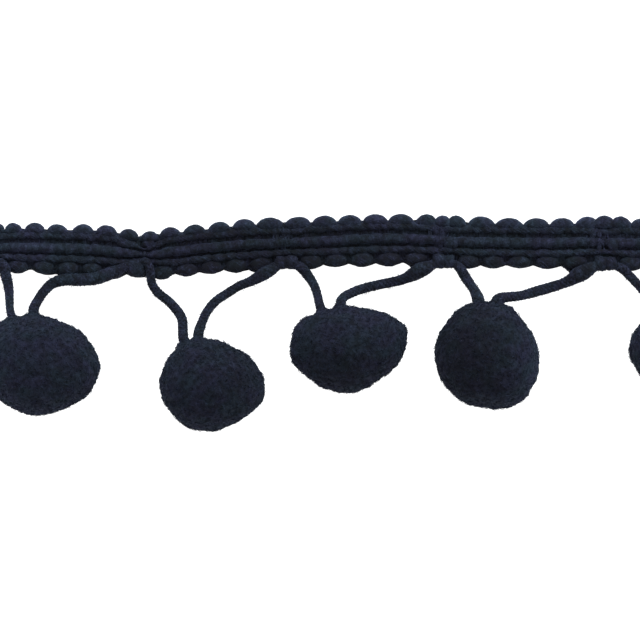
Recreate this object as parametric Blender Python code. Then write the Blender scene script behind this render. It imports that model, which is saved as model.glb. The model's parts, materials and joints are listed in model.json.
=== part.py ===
"""Pom pom trim: a narrow braid heading with felted yarn balls tied along a cord that is stitched to its lower edge.

A cut length lies on a flat surface. +X runs along the heading, +Y from the balls towards the heading and
+Z up. The origin is on the heading's flat back, at the middle of its length. All sizes are in millimetres,
and MM turns them into Blender's metres.
"""
from math import atan2, cos, exp, pi, sin

import bmesh
import bpy
import numpy as np
from mathutils import Vector, noise

MM = 0.001

# Heading
CUT_LENGTH = 172.0
STATION_STEP = 0.7
BEAD_DEPTH = 1.05  # from a bead's tip in to the notch beside it
BEAD_ROUNDNESS = 0.8
BEAD_DIP = 0.34  # how much lower a bead is at its notches
CHAIN_DIP = 0.1
UNEVENNESS = 0.16
SADDLE_HEIGHT = 0.85  # of the beads that the cord lies over
SADDLE_CHAIN_HEIGHT = 1.3
SADDLE_EASE = 1.6  # the length over which the beads come down to it

# Where the heading's middle line lies on the surface
MIDDLE_LINE = (
    # along, across
    (-86.0, -1.0),
    (-74.0, -1.0),
    (-63.2, -1.2),
    (-56.0, -1.5),
    (-49.4, -2.2),
    (-45.6, -2.5),
    (-41.4, -2.0),
    (-36.4, -1.4),
    (-26.4, -0.5),
    (-15.4, 0.0),
    (-5.6, 0.5),
    (5.0, 0.7),
    (16.2, 0.2),
    (26.4, 0.1),
    (45.6, 0.0),
    (52.0, -0.2),
    (70.0, -0.4),
    (86.0, -0.3),
)

# The lines that run along the heading, from its lower edge round to its upper edge
ROWS = (
    # line, across, height
    ("lower back", -4.5, 0.0),
    ("lower side", -5.2, 0.9),
    ("lower shoulder", -4.9, 1.75),
    ("lower bead", -3.8, 2.4),
    ("lower seam", -2.65, 1.6),
    ("lower chain", -1.95, 2.3),
    ("lower groove", -1.05, 1.4),
    ("lower flank", -0.5, 2.45),
    ("ridge", 0.25, 2.9),
    ("upper flank", 1.0, 2.45),
    ("upper groove", 1.55, 1.4),
    ("upper chain", 2.55, 2.3),
    ("upper seam", 3.25, 1.6),
    ("upper bead", 4.1, 2.35),
    ("upper shoulder", 4.75, 1.75),
    ("upper side", 5.0, 0.9),
    ("upper back", 4.3, 0.0),
)

# The stitched knots that hold the cord, each with the stretch of beads that the cord lies over
KNOTS = (
    # along, rows_in, edges_in, saddle_from, saddle_to
    (-76.0, 0.17, 0.0, -79.5, -72.6),
    (-45.6, 0.42, 0.03, -56.8, -44.4),
    (-17.4, 0.10, 0.0, -25.4, -13.8),
    (15.0, 0.12, -0.03, 5.0, 18.2),
    (45.6, 0.18, -0.07, 38.6, 50.8),
    (76.0, 0.17, 0.0, 67.4, 77.9),
)
KNOT_REACH = 3.4

# The beads of each edge: a bead sits at each of these places, with so many more before the next one.
# lean crowds them towards the next place (above 0) or the last one.
UPPER_EDGE = (
    # along, beads, lean
    (-106.0, 5, 0.0),
    (-77.4, 6, 0.01),
    (-45.4, 4, -0.045),
    (-21.2, 6, 0.01),
    (14.8, 5, 0.065),
    (45.6, 5, -0.04),
    (76.2, 5, 0.0),
    (106.0, 0, 0.0),
)
LOWER_EDGE = (
    # along, beads, lean
    (-107.0, 5, 0.0),
    (-77.2, 5, 0.02),
    (-47.8, 5, 0.0),
    (-18.1, 5, 0.01),
    (13.6, 5, 0.015),
    (46.0, 5, 0.0),
    (76.2, 5, 0.0),
    (106.5, 0, 0.0),
)

# Yarn balls: the middle, the height, and the reach towards each hour of a clock face seen from above
BALLS = (
    # name, along, across, height, reach at 12, 1, 2, ... 11 o'clock
    ("pompom_1", -65.6, -24.4, 18.8, (9.9, 9.3, 9.6, 10.4, 10.1, 9.5, 9.8, 11.0, 12.0, 12.7, 13.2, 11.2)),
    ("pompom_2", -32.8, -28.6, 18.6, (9.5, 9.1, 9.8, 10.5, 9.9, 8.7, 9.1, 9.4, 9.8, 10.4, 10.4, 10.2)),
    ("pompom_3", -5.4, -21.4, 17.4, (9.0, 9.4, 11.8, 11.5, 9.3, 8.4, 8.6, 9.2, 10.3, 11.8, 11.4, 9.2)),
    ("pompom_4", 22.2, -22.6, 19.0, (10.8, 10.5, 10.1, 10.4, 11.0, 11.2, 10.3, 10.5, 10.4, 10.4, 10.7, 11.0)),
    ("pompom_5", 60.9, -21.6, 18.6, (9.7, 9.8, 10.1, 10.4, 10.2, 9.9, 9.9, 9.6, 9.6, 10.4, 10.3, 9.9)),
)
BALL_DIVISIONS = 4
BALL_SINK = 0.6  # how far each ball's round form is pressed flat where it rests
LUMP_HEIGHT = 0.28
LUMP_SIZE = 4.5

# The cord: from one ball over the heading's knot to the next ball. Each route ends a little outside the balls.
CORD_POINT_STEP = 2.4
CORD_ROUTES = (
    # name, then the route as along, across, up, thickness
    ("cord_1", (
        (-76.3, -4.5, 2.3, 1.8),
        (-75.2, -4.9, 2.3, 1.8),
        (-74.3, -6.2, 2.0, 2.0),
        (-73.8, -7.6, 1.6, 2.0),
        (-73.4, -9.6, 2.4, 1.8),
        (-73.2, -12.0, 4.6, 1.5),
        (-72.9, -14.3, 6.6, 1.7),
    )),
    ("cord_2", (
        (-68.4, -13.4, 7.0, 2.1),
        (-67.8, -11.8, 5.2, 2.0),
        (-66.5, -9.8, 3.0, 1.9),
        (-64.8, -8.2, 1.6, 1.9),
        (-62.4, -7.8, 1.3, 1.9),
        (-59.0, -7.8, 1.6, 1.9),
        (-56.0, -7.6, 2.0, 1.9),
        (-53.6, -7.0, 2.3, 1.9),
        (-51.2, -5.9, 2.4, 1.9),
        (-49.0, -5.2, 2.4, 1.8),
        (-46.8, -5.1, 2.4, 1.8),
        (-45.4, -5.9, 2.2, 1.7),
        (-45.1, -8.0, 1.6, 1.6),
        (-43.9, -9.7, 1.5, 1.7),
        (-41.7, -11.5, 2.2, 1.7),
        (-40.0, -13.3, 3.4, 1.8),
        (-38.9, -15.2, 4.8, 1.8),
        (-38.7, -17.2, 6.2, 1.9),
        (-38.4, -19.3, 7.4, 2.1),
    )),
    ("cord_3", (
        (-35.5, -18.4, 7.3, 2.1),
        (-35.1, -16.5, 5.8, 1.9),
        (-34.1, -14.0, 3.8, 1.8),
        (-32.4, -11.8, 2.2, 1.7),
        (-29.8, -9.9, 1.3, 1.8),
        (-27.5, -8.5, 1.3, 1.8),
        (-24.6, -7.3, 1.8, 1.9),
        (-22.2, -6.0, 2.4, 1.9),
        (-20.4, -4.4, 2.4, 1.8),
        (-18.0, -3.5, 2.4, 1.8),
        (-15.6, -3.6, 2.4, 1.8),
        (-14.4, -5.0, 2.1, 1.8),
        (-13.5, -6.6, 1.7, 1.8),
        (-12.4, -8.8, 2.6, 1.7),
        (-11.7, -11.3, 4.6, 1.8),
        (-11.0, -13.2, 6.4, 1.9),
    )),
    ("cord_4", (
        (-7.0, -11.7, 6.6, 2.0),
        (-6.5, -10.9, 5.4, 1.9),
        (-5.1, -9.9, 3.8, 1.8),
        (-2.7, -9.0, 2.2, 1.9),
        (0.1, -8.4, 1.4, 1.9),
        (2.9, -7.8, 1.3, 1.9),
        (5.6, -7.1, 1.6, 2.0),
        (8.4, -6.1, 2.4, 2.0),
        (10.6, -4.7, 2.5, 1.9),
        (13.4, -3.4, 2.4, 1.8),
        (16.2, -3.6, 2.4, 1.8),
        (17.1, -5.0, 2.1, 1.9),
        (17.9, -6.9, 1.8, 1.9),
        (19.3, -9.0, 3.2, 1.8),
        (20.8, -11.4, 6.1, 2.0),
    )),
    ("cord_5", (
        (24.6, -11.3, 6.6, 2.0),
        (26.2, -10.8, 5.4, 2.1),
        (29.3, -10.3, 3.4, 1.9),
        (32.4, -9.4, 1.8, 2.0),
        (35.4, -8.6, 1.2, 2.0),
        (38.4, -7.6, 1.6, 2.1),
        (41.4, -6.5, 2.4, 2.0),
        (43.4, -4.9, 2.5, 1.9),
        (45.6, -3.7, 2.4, 1.8),
        (47.6, -3.9, 2.4, 1.8),
        (49.3, -5.1, 2.2, 1.9),
        (50.8, -6.5, 1.8, 1.9),
        (52.5, -8.3, 2.4, 1.8),
        (54.2, -10.5, 4.2, 1.8),
        (55.8, -12.5, 6.6, 1.9),
    )),
    ("cord_6", (
        (59.4, -11.3, 6.4, 1.9),
        (60.4, -10.2, 5.0, 1.9),
        (62.6, -8.9, 2.8, 1.9),
        (65.4, -7.9, 1.5, 1.9),
        (68.4, -6.9, 1.7, 1.9),
        (71.4, -5.7, 2.4, 1.9),
        (74.0, -4.4, 2.4, 1.8),
        (76.2, -3.9, 2.4, 1.8),
    )),
)

# Linear colours of the dyed yarn
HEADING_NAVY = (0.0130, 0.0160, 0.0270)
CORD_NAVY = (0.0140, 0.0170, 0.0280)
BALL_NAVY = (0.0115, 0.0140, 0.0240)
YARN_ROUGHNESS = 0.9


def clear_scene():
    for old in list(bpy.data.objects):
        bpy.data.objects.remove(old, do_unlink=True)


def yarn(name, colour):
    """A plain matt dyed yarn."""
    material = bpy.data.materials.new(name)
    material.use_nodes = True
    shader = material.node_tree.nodes["Principled BSDF"]
    shader.inputs["Base Color"].default_value = (*colour, 1.0)
    shader.inputs["Roughness"].default_value = YARN_ROUGHNESS
    shader.inputs["Metallic"].default_value = 0.0
    return material


def place(name, data, material):
    """Puts a finished mesh or curve in the scene under its name."""
    data.materials.append(material)
    made = bpy.data.objects.new(name, data)
    bpy.context.scene.collection.objects.link(made)
    return made


def mesh_from(bm, name, sharp_degrees):
    """Turns a bmesh in millimetres into a smooth-shaded mesh in metres."""
    bmesh.ops.scale(bm, vec=(MM, MM, MM), verts=bm.verts)
    bmesh.ops.recalc_face_normals(bm, faces=bm.faces)
    mesh = bpy.data.meshes.new(name)
    bm.to_mesh(mesh)
    bm.free()
    mesh.shade_smooth()
    mesh.set_sharp_from_angle(angle=sharp_degrees * pi / 180)
    return mesh


def curve_through(knots, values, at):
    """Smooth values at the given places, through rows of values at rising knots (Catmull-Rom tangents)."""
    knots = np.asarray(knots, float)
    values = np.asarray(values, float).reshape(len(knots), -1)
    slopes = np.gradient(values, knots, axis=0)
    at = np.clip(np.atleast_1d(at), knots[0], knots[-1])
    left = np.clip(np.searchsorted(knots, at, side="right") - 1, 0, len(knots) - 2)
    span = (knots[left + 1] - knots[left])[:, None]
    t = (at - knots[left])[:, None] / span
    return (
        values[left] * (2 * t**3 - 3 * t**2 + 1)
        + slopes[left] * span * (t**3 - 2 * t**2 + t)
        + values[left + 1] * (3 * t**2 - 2 * t**3)
        + slopes[left + 1] * span * (t**3 - t**2)
    )


def step_up(x, low, high):
    """0 below low and 1 above high, with a smooth rise between."""
    t = min(max((x - low) / (high - low), 0.0), 1.0)
    return t * t * (3 - 2 * t)


def bead_tips(edge):
    """Where the beads of one edge have their tips."""
    tips = []
    for (start, beads, lean), (end, _, _) in zip(edge, edge[1:]):
        for i in range(beads + 1):
            share = i / (beads + 1)
            tips.append(start + (end - start) * (share + lean * sin(pi * share)))
    return tips


def notches(edge):
    """Where two neighbouring beads of one edge meet."""
    tips = bead_tips(edge)
    return [(a + b) / 2 for a, b in zip(tips, tips[1:])]


def bulge(x, between):
    """How far a place along an edge stands out: 1 at a bead's tip and 0 in a notch. Also the bead's number."""
    place_in_row = float(np.interp(x, between, range(len(between))))
    number = int(place_in_row)
    return sin(pi * (place_in_row - number)) ** BEAD_ROUNDNESS, number


def drawn_in(x):
    """The shares by which the knots draw the rows and the edges in at a place along the heading."""
    rows = edges = 0.0
    for along, rows_in, edges_in, _, _ in KNOTS:
        near = exp(-(((x - along) / KNOT_REACH) ** 2))
        rows += rows_in * near
        edges += edges_in * near
    return rows, edges


def saddle_at(x):
    """1 where the cord lies over the lower beads, and 0 clear of it."""
    depth = 0.0
    for _, _, _, start, end in KNOTS:
        here = step_up(x, start - SADDLE_EASE, start) * (1 - step_up(x, end, end + SADDLE_EASE))
        depth = max(depth, here)
    return depth


def section(x, middle, upper, lower):
    """The heading's outline across, at a place along it."""
    rows_in, edges_in = drawn_in(x)
    saddle = saddle_at(x)
    ring = []
    for line, across, height in ROWS:
        out, number = bulge(x, upper if across > 0 else lower)
        uneven = UNEVENNESS * noise.noise(Vector((number * 1.7, 4.0 if across > 0 else 9.0, 0.3)))
        part_of_line = line.split()[-1]
        if part_of_line in ("back", "side", "shoulder"):
            inward = BEAD_DEPTH * (1 - out) - uneven
            across -= inward if across > 0 else -inward
            across *= 1 - edges_in
        else:
            across *= 1 - rows_in * (0.5 if part_of_line == "bead" else 1.0)
        if part_of_line in ("shoulder", "bead", "seam"):
            height *= 1 - BEAD_DIP * (1 - out)
        if part_of_line == "chain":
            height *= 1 - CHAIN_DIP * (1 - out)
        if line in ("lower shoulder", "lower bead", "lower seam"):
            height += (SADDLE_HEIGHT - height) * saddle
        if line == "lower side":
            height *= 1 - 0.5 * saddle
        if line in ("lower chain", "lower groove"):
            height += (min(height, SADDLE_CHAIN_HEIGHT) - height) * saddle
        ring.append(Vector((x, middle + across, height)))
    return ring


def heading(material):
    """The braid: its section drawn out along the heading, one short step after another."""
    steps = round(CUT_LENGTH / STATION_STEP)
    stations = np.linspace(-CUT_LENGTH / 2, CUT_LENGTH / 2, steps + 1)
    middles = curve_through(*zip(*MIDDLE_LINE), stations)[:, 0]
    upper = notches(UPPER_EDGE)
    lower = notches(LOWER_EDGE)
    bm = bmesh.new()
    end = bm.faces.new([bm.verts.new(p) for p in section(stations[0], middles[0], upper, lower)])
    left_inside = []
    for x, middle in zip(stations[1:], middles[1:]):
        drawn = bmesh.ops.extrude_face_region(bm, geom=[end])
        left_inside.append(end)
        end = next(part for part in drawn["geom"] if isinstance(part, bmesh.types.BMFace))
        for vertex, point in zip((loop.vert for loop in end.loops), section(x, middle, upper, lower)):
            vertex.co = point
    bmesh.ops.delete(bm, geom=left_inside[1:], context="FACES_ONLY")
    bmesh.ops.triangulate(bm, faces=bm.faces)
    return place("heading", mesh_from(bm, "heading", 60), material)


def reach_towards(reaches, angle):
    """How far a ball reaches in a direction, counted in radians clockwise from 12 o'clock."""
    hours = len(reaches)
    wrapped = [*reaches[-3:], *reaches, *reaches[:3]]
    return float(curve_through(range(-3, hours + 3), wrapped, (angle / (2 * pi) * hours) % hours)[0, 0])


def ball(row, number, material):
    """A felted ball: a round form drawn out to its reach each way, lumpy, and flat where it rests."""
    name, along, across, height, reaches = row
    half = (height + BALL_SINK) / 2
    middle = Vector((along, across, half - BALL_SINK))
    bm = bmesh.new()
    bmesh.ops.create_icosphere(bm, subdivisions=BALL_DIVISIONS, radius=1.0)
    for vertex in bm.verts:
        way = vertex.co.normalized()
        reach = reach_towards(reaches, atan2(way.x, way.y))
        lump = LUMP_HEIGHT * noise.noise(way * (half * 2 / LUMP_SIZE) + Vector((number * 7.0, 0.0, 0.0)))
        place_out = middle + Vector((way.x * reach, way.y * reach, way.z * half)) + way * lump
        place_out.z = max(place_out.z, 0.0)
        vertex.co = place_out
    return place(name, mesh_from(bm, name, 60), material)


def cord(row, material):
    """A stretch of cord: a round tube with closed ends along its route."""
    name, route = row
    points = np.array([r[:3] for r in route])
    travelled = np.concatenate([[0.0], np.cumsum(np.linalg.norm(np.diff(points, axis=0), axis=1))])
    count = round(travelled[-1] / CORD_POINT_STEP) + 1
    line = curve_through(travelled, route, np.linspace(0.0, travelled[-1], count))
    curve = bpy.data.curves.new(name, "CURVE")
    curve.dimensions = "3D"
    curve.bevel_depth = MM / 2
    curve.bevel_resolution = 2
    curve.use_fill_caps = True
    spline = curve.splines.new("POLY")
    spline.points.add(count - 1)
    for point, (along, across, up, thickness) in zip(spline.points, line):
        point.co = (along * MM, across * MM, up * MM, 1.0)
        point.radius = thickness
    return place(name, curve, material)


def main():
    clear_scene()
    heading(yarn("heading_yarn", HEADING_NAVY))
    for number, row in enumerate(BALLS):
        ball(row, number, yarn(row[0] + "_yarn", BALL_NAVY))
    for row in CORD_ROUTES:
        cord(row, yarn(row[0] + "_yarn", CORD_NAVY))


main()
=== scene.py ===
"""Looks of a pom pom trim: a navy braid heading, and felted balls tied along a cord stitched to its edge.

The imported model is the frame: +X runs along the heading, +Y from the balls towards it, +Z is up, and the
trim lies on the surface z = 0. Sizes here are in millimetres, and MM turns them into Blender's metres.
"""
import json
from math import cos, pi, sin

import bmesh
import bpy
import numpy as np
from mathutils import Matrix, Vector, noise

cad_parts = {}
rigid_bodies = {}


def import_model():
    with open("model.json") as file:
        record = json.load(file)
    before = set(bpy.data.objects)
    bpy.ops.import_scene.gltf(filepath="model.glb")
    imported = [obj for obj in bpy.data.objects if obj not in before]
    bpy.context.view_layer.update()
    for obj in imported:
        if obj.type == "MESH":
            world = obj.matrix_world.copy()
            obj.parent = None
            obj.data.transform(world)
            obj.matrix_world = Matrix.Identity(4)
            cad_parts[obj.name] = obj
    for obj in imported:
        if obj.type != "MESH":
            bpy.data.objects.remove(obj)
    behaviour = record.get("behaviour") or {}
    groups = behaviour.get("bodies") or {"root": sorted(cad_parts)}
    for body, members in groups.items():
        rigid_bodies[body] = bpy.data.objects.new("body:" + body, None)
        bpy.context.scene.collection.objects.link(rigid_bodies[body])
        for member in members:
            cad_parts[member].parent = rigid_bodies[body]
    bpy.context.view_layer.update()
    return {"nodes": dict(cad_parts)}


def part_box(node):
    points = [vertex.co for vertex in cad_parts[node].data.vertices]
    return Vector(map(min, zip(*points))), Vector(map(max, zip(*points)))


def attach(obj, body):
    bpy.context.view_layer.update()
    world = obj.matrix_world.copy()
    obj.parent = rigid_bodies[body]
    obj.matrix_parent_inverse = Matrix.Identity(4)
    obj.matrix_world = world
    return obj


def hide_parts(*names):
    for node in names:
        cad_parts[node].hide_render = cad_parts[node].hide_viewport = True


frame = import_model()

MM = 0.001

# View: straight down on the middle of the stretch that shows
VIEW_MIDDLE = (-11.2, -15.4)
VIEW_WIDTH = 128.0
VIEW_PLANE = 5.0  # the height at which VIEW_WIDTH fills the picture
LENS = 400.0
SENSOR = 36.0

# The surface and its light
SURFACE = 3.0  # half its side, in metres
WHITE = (1.0, 1.0, 1.0)
SKY_STRENGTH = 0.57
LAMP_COLOUR = (0.80, 0.90, 1.0)
SOFT_BOXES = (
    # name, where it is, towards what (both in metres), its length and width, its energy
    ("soft_box", (0.15, 0.75, 0.6), (0.0, 0.0, 0.0), (0.7, 0.4), 9.0),
    ("right_box", (0.26, -0.02, 0.12), (0.02, -0.02, 0.0), (0.12, 0.12), 0.23),
    ("left_box", (-0.30, -0.12, 0.14), (-0.07, -0.02, 0.0), (0.12, 0.12), 0.1),
)

# Heading
CUT_LENGTH = 172.0
TAPE_EDGES = {"upper": 3.92, "lower": -4.4}  # between beads, measured across from the middle line
TAPE_SCALLOPS = {"upper": 0.35, "lower": 0.65}  # how much further out the tape reaches under a bead
# Where the tape reaches further out, down to the cord that lies against it
TAPE_BY_CORD = (
    # middle of the stretch, half its length, how much further
    (-58.9, 6.9, 0.8),
    (-23.6, 2.6, 0.5),
    (8.9, 2.2, 0.8),
    (40.9, 2.8, 1.1),
)
# How much further out than even each edge of the heading lies
EDGE_SWAY = {
    # along, further out
    "upper": (
        (-76.0, 0.0), (-72.8, -0.05), (-68.5, 0.05), (-64.0, -0.16), (-58.6, 0.02), (-54.0, 0.13),
        (-49.4, 0.0), (-45.4, -0.45), (-41.4, 0.06), (-36.4, -0.04), (-31.4, 0.0), (-26.4, 0.2),
        (-21.5, 0.2), (-15.4, 0.17), (-10.4, 0.12), (-5.6, 0.0), (4.8, 0.0), (10.0, 0.13),
        (13.4, -0.27), (16.2, 0.1), (20.8, 0.17), (26.4, -0.07), (37.2, -0.03), (42.0, 0.08),
        (45.6, 0.0),
    ),
    "lower": (
        (-72.0, 0.0), (-69.2, -0.3), (-66.5, 0.0), (-53.0, 0.0), (-50.2, -0.25), (-46.8, 0.1),
        (-43.5, 0.2), (-40.4, -0.2), (-37.0, 0.1), (-33.0, 0.05), (-28.0, 0.25), (-22.0, 0.0),
        (-16.0, 0.1), (-12.5, 0.3), (-7.7, 0.1), (-2.8, 0.3), (2.4, 0.3), (8.0, 0.0), (15.0, 0.0),
        (19.0, 0.2), (23.6, 0.0), (28.8, -0.12), (34.0, 0.0), (46.0, 0.1), (52.0, 0.35), (57.0, 0.0),
    ),
}
TAPE_TOP = 1.0
TAPE_THICKNESS = 0.5
TAPE_TURN = 0.35  # how far its edges turn down
TAPE_STEPS = (344, 12)  # along and across
TAPE_DRAWN = 0.24  # the share of the knots' drawing in that the tape takes
EDGE_MARGIN = 1.3  # beads nearer than this to a cut end are left off

# Where the heading's middle line lies on the surface
MIDDLE_LINE = (
    # along, across
    (-86.0, -1.0), (-74.0, -1.0), (-63.2, -1.2), (-56.0, -1.5), (-49.4, -2.2), (-45.6, -2.5),
    (-41.4, -2.0), (-36.4, -1.4), (-26.4, -0.5), (-15.4, 0.0), (-5.6, 0.5), (5.0, 0.7), (16.2, 0.2),
    (26.4, -0.05), (36.0, -0.1), (45.6, 0.0), (52.0, -0.2), (70.0, -0.4), (86.0, -0.3),
)

# The stitched knots that hold the cord
KNOTS = (
    # along, how far the rows are drawn in, where its stitches cross them, where its yarn lies over the cord
    (-76.0, 0.17, -78.0, -77.2),
    (-46.4, 0.52, -46.0, -48.1),
    (-17.4, 0.10, -19.4, -18.0),
    (15.0, 0.12, 12.6, 13.6),
    (45.6, 0.18, 44.1, 46.0),
    (76.0, 0.17, 74.4, 76.2),
)
KNOT_REACH = 3.0  # how far along the heading a knot draws the rows in

# The thick lumps of yarn at the knots: those that lie over the cord, then those that lie on the rows
LUMPS = (
    # along, across from the middle line, up, half_length, half_width, half_height
    (-78.3, -3.8, 1.6, 1.3, 1.40, 1.3),
    (-76.2, -3.8, 1.6, 1.2, 1.40, 1.3),
    (-48.1, -2.75, 1.6, 1.8, 1.75, 1.3),
    (-19.1, -3.75, 1.6, 1.3, 1.35, 1.3),
    (-17.0, -3.75, 1.6, 1.2, 1.35, 1.3),
    (12.6, -3.95, 1.6, 1.3, 1.50, 1.3),
    (14.7, -3.95, 1.6, 1.2, 1.45, 1.3),
    (45.0, -4.1, 1.6, 1.3, 1.45, 1.3),
    (47.1, -4.0, 1.6, 1.2, 1.40, 1.3),
    (75.2, -3.8, 1.6, 1.3, 1.40, 1.3),
    (77.3, -3.8, 1.6, 1.2, 1.35, 1.3),
    (-50.0, 2.0, 1.3, 1.9, 0.75, 0.8),
    (-45.6, 2.5, 1.3, 1.2, 0.75, 0.8),
    (15.1, -0.1, 1.5, 1.4, 1.25, 1.15),
    (47.5, -0.2, 1.5, 1.2, 1.20, 1.15),
)

# Small tufts of yarn that the stitching of the knots pulls up out of the rows
TUFTS = (
    # along, across, half_length, half_width, turn
    (-48.9, -0.1, 0.5, 0.35, 0.3),
    (-46.4, 0.3, 0.45, 0.3, 1.2),
    (-45.5, 1.6, 0.5, 0.35, 0.9),
    (-44.8, -1.3, 0.6, 0.35, 0.2),
    (-16.2, 0.2, 0.4, 0.3, 1.5),
    (12.1, 1.8, 0.9, 0.45, 1.9),
    (13.2, 1.9, 0.9, 0.45, 1.3),
    (13.0, -0.8, 0.7, 0.4, 0.9),
    (14.2, 2.7, 0.6, 0.4, 0.4),
    (43.7, 1.8, 0.9, 0.4, 1.3),
    (44.7, 1.9, 0.9, 0.45, 1.8),
    (44.8, -0.8, 0.7, 0.4, 1.3),
)

# The beads of each edge: a bead sits at each of these places, with so many more before the next one.
# lean crowds them towards the next place (above 0) or the last one.
EDGES = {
    # along, beads, lean
    "upper": (
        (-97.0, 3, 0.0), (-79.4, 0, 0.0), (-76.0, 0, 0.0), (-72.8, 1, 0.0), (-64.0, 0, 0.0),
        (-58.6, 1, 0.0), (-49.4, 0, 0.0), (-45.4, 0, 0.0), (-41.4, 2, 0.0), (-26.4, 0, 0.0),
        (-21.5, 0, 0.0), (-15.4, 4, -0.003), (10.2, 0, 0.0), (13.5, 0, 0.0), (16.2, 0, 0.0),
        (21.0, 0, 0.0), (26.8, 2, 0.02), (42.3, 0, 0.0), (45.8, 0, 0.0), (49.2, 0, 0.0),
        (53.2, 11, 0.0), (110.0, 0, 0.0),
    ),
    "lower": (
        (-107.0, 5, 0.0), (-77.2, 5, 0.03), (-47.8, 5, 0.0), (-18.1, 5, -0.015), (13.6, 5, -0.03),
        (46.0, 5, 0.0), (76.2, 5, 0.0), (106.5, 0, 0.0),
    ),
}

# The rows of the braid, measured across from its middle line
BEAD_ROWS = {
    # a bead's near and far sides at its middle and at its ends, half its height, how slowly it rounds off,
    # the share of its room along the edge that it takes at the left and at the right of what shows, how much
    # of the knots' drawing in it takes, and the seed of its unevenness
    "upper": {
        "near": (2.95, 2.95), "far": (5.2, 3.7), "tall": 1.12, "round": 0.72, "fill": (0.78, 0.93),
        "drawn": 0.14, "seed": 11,
    },
    "lower": {
        "near": (-2.35, -3.4), "far": (-5.12, -4.3), "tall": 1.05, "round": 0.5, "fill": (0.7, 0.7),
        "drawn": 0.3, "seed": 12,
    },
}
FILL_ENDS = (-50.0, 20.0)  # between these places the first share goes over into the second
BEAD_STEPS = 17
LOPSIDED = 1.25  # how much longer one half of a bead may be than the other
# Places on the upper edge where a knot pushes the yarn out and fills the gaps between the beads
DRAWN_TOGETHER = (
    # middle of the stretch, half its length, how much further out the tape reaches
    (-45.4, 2.4, 0.9),
    (-18.6, 2.2, 0.3),
    (13.6, 2.8, 0.75),
    (46.3, 3.6, 1.0),
)
WEFT_STEP = 0.3  # between the strands that cross the whole braid under its rows
LUMPY_ROWS = {
    # the rows of soft lumps: middle, half width, half height, middle height, the length of a lump, by how
    # much it is drawn in at its ends, and the seed of its unevenness
    "upper": {"at": 2.75, "half": 0.78, "tall": 0.62, "up": 1.45, "lump": 2.2, "drawn": 0.3, "seed": 21},
    "ridge": {"at": 0.24, "half": 1.0, "tall": 0.95, "up": 1.55, "lump": 1.9, "drawn": 0.14, "seed": 23},
    "lower": {"at": -1.9, "half": 0.74, "tall": 0.75, "up": 1.45, "lump": 2.2, "drawn": 0.3, "seed": 22},
}
ROW_STEP = 0.26
END_INSET = 0.3  # between the cut ends and the yarn's own ends
ROW_TOPS = (
    # across, height of the yarn there
    (-2.6, 1.5), (-1.85, 2.15), (-1.0, 1.4), (-0.5, 2.0), (0.3, 2.55), (1.1, 2.0), (1.7, 1.4),
    (2.7, 2.0), (3.4, 1.7), (4.1, 2.3), (4.9, 1.4),
)
# Loose fibres that lie on the heading's thick bodies of yarn
LYING_FIBRES = {
    # how many on each body, how far one goes on along it, how many half turns round it, how thick it is
    "upper_beads": (14, 1.6, 0.3, 0.17),
    "lower_beads": (8, 1.6, 0.3, 0.17),
    "knot_lumps": (50, 1.6, 0.4, 0.24),
    "chains": (600, 1.3, 0.4, 0.2),
    "ridge": (1000, 0.7, 0.8, 0.2),
}

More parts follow.
